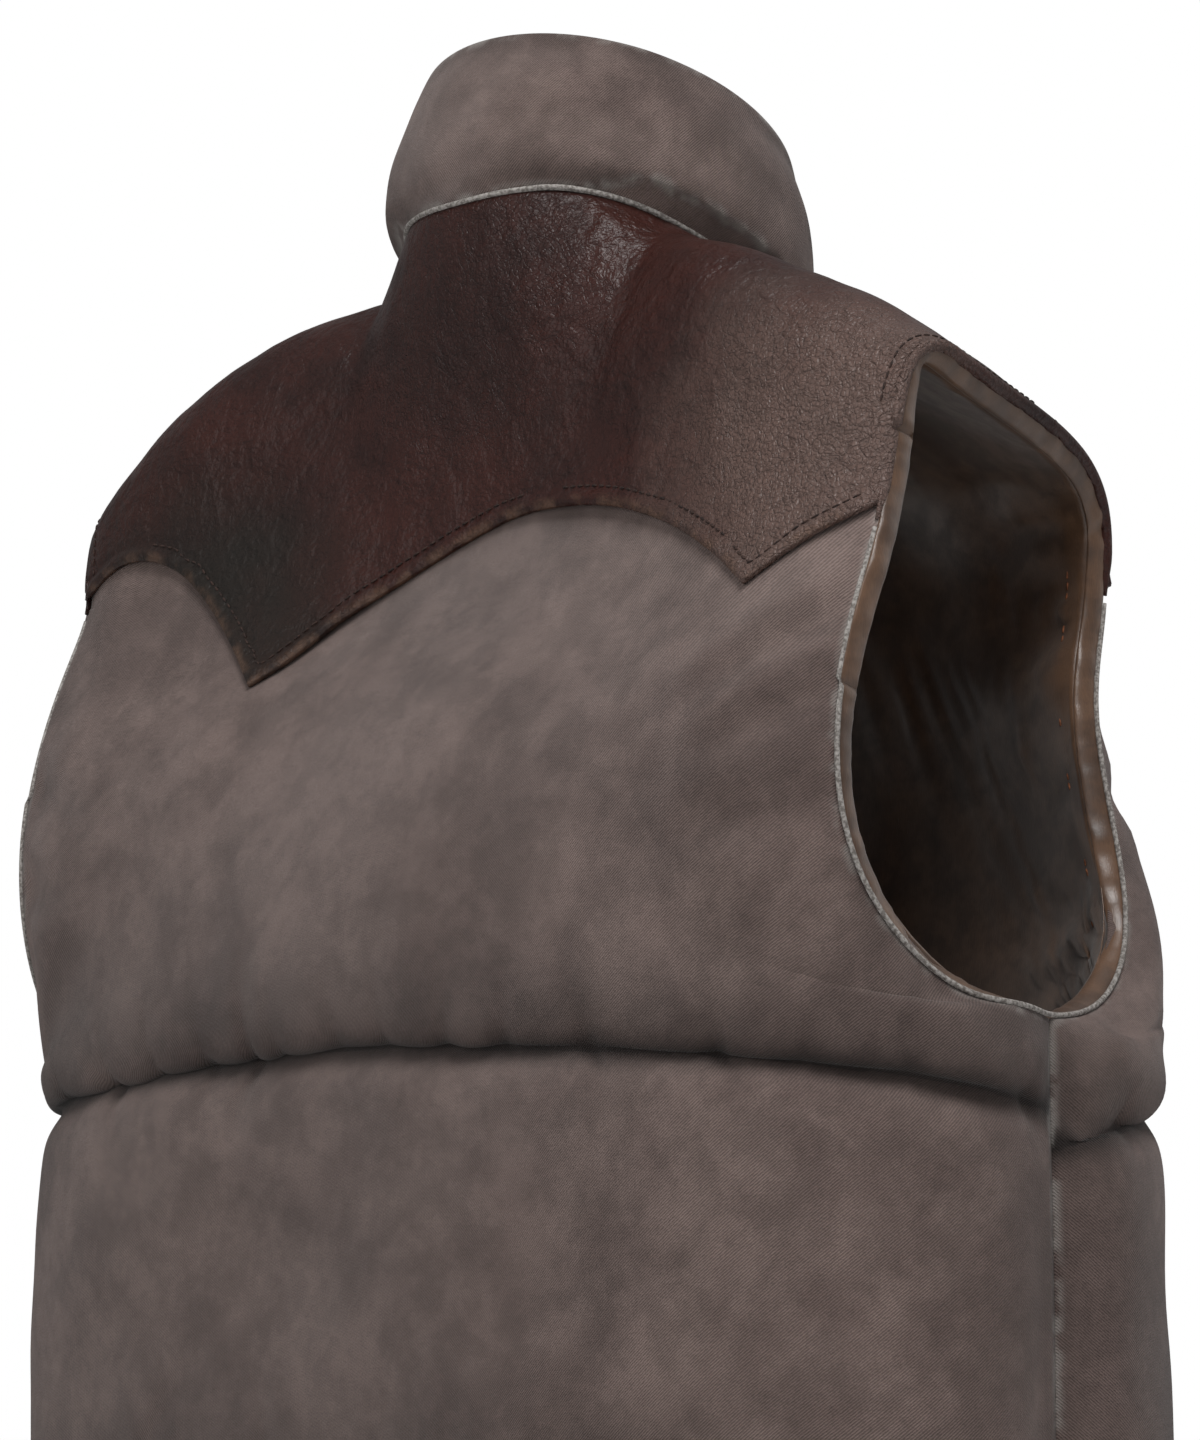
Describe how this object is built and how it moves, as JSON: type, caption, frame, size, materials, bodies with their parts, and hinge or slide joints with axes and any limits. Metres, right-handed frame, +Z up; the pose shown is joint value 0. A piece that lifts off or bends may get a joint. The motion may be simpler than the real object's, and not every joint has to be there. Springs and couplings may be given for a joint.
{
  "type": "down vest",
  "caption": "Padded sleeveless vest in its worn form, hollow, with a stand collar, a leather yoke over the shoulders and a snap front.",
  "frame": {"origin": "in the middle of the neck, between the shoulders, at the height of the neck points, where the wearer's shoulders hold the vest up", "axes": "+X to the wearer's left, +Y to the wearer's back, +Z up"},
  "size_m": [0.4658, 0.2444, 0.68],
  "materials": {
    "twill": "worn brushed cotton twill",
    "leather": "dark oxblood, worn, with a soft sheen",
    "lining": "satin",
    "snap_metal": "antiqued"
  },
  "bodies": {
    "root": {"back_panel": "twill", "front_left": "twill", "front_right": "twill", "lining_back": "lining", "lining_front_left": "lining", "lining_front_right": "lining", "yoke": "leather", "collar": "twill", "placket": "twill", "snap_1": "snap_metal", "snap_2": "snap_metal", "snap_3": "snap_metal", "snap_4": "snap_metal", "snap_5": "snap_metal", "snap_6": "snap_metal", "snap_7": "snap_metal"}
  },
  "joints": []
}
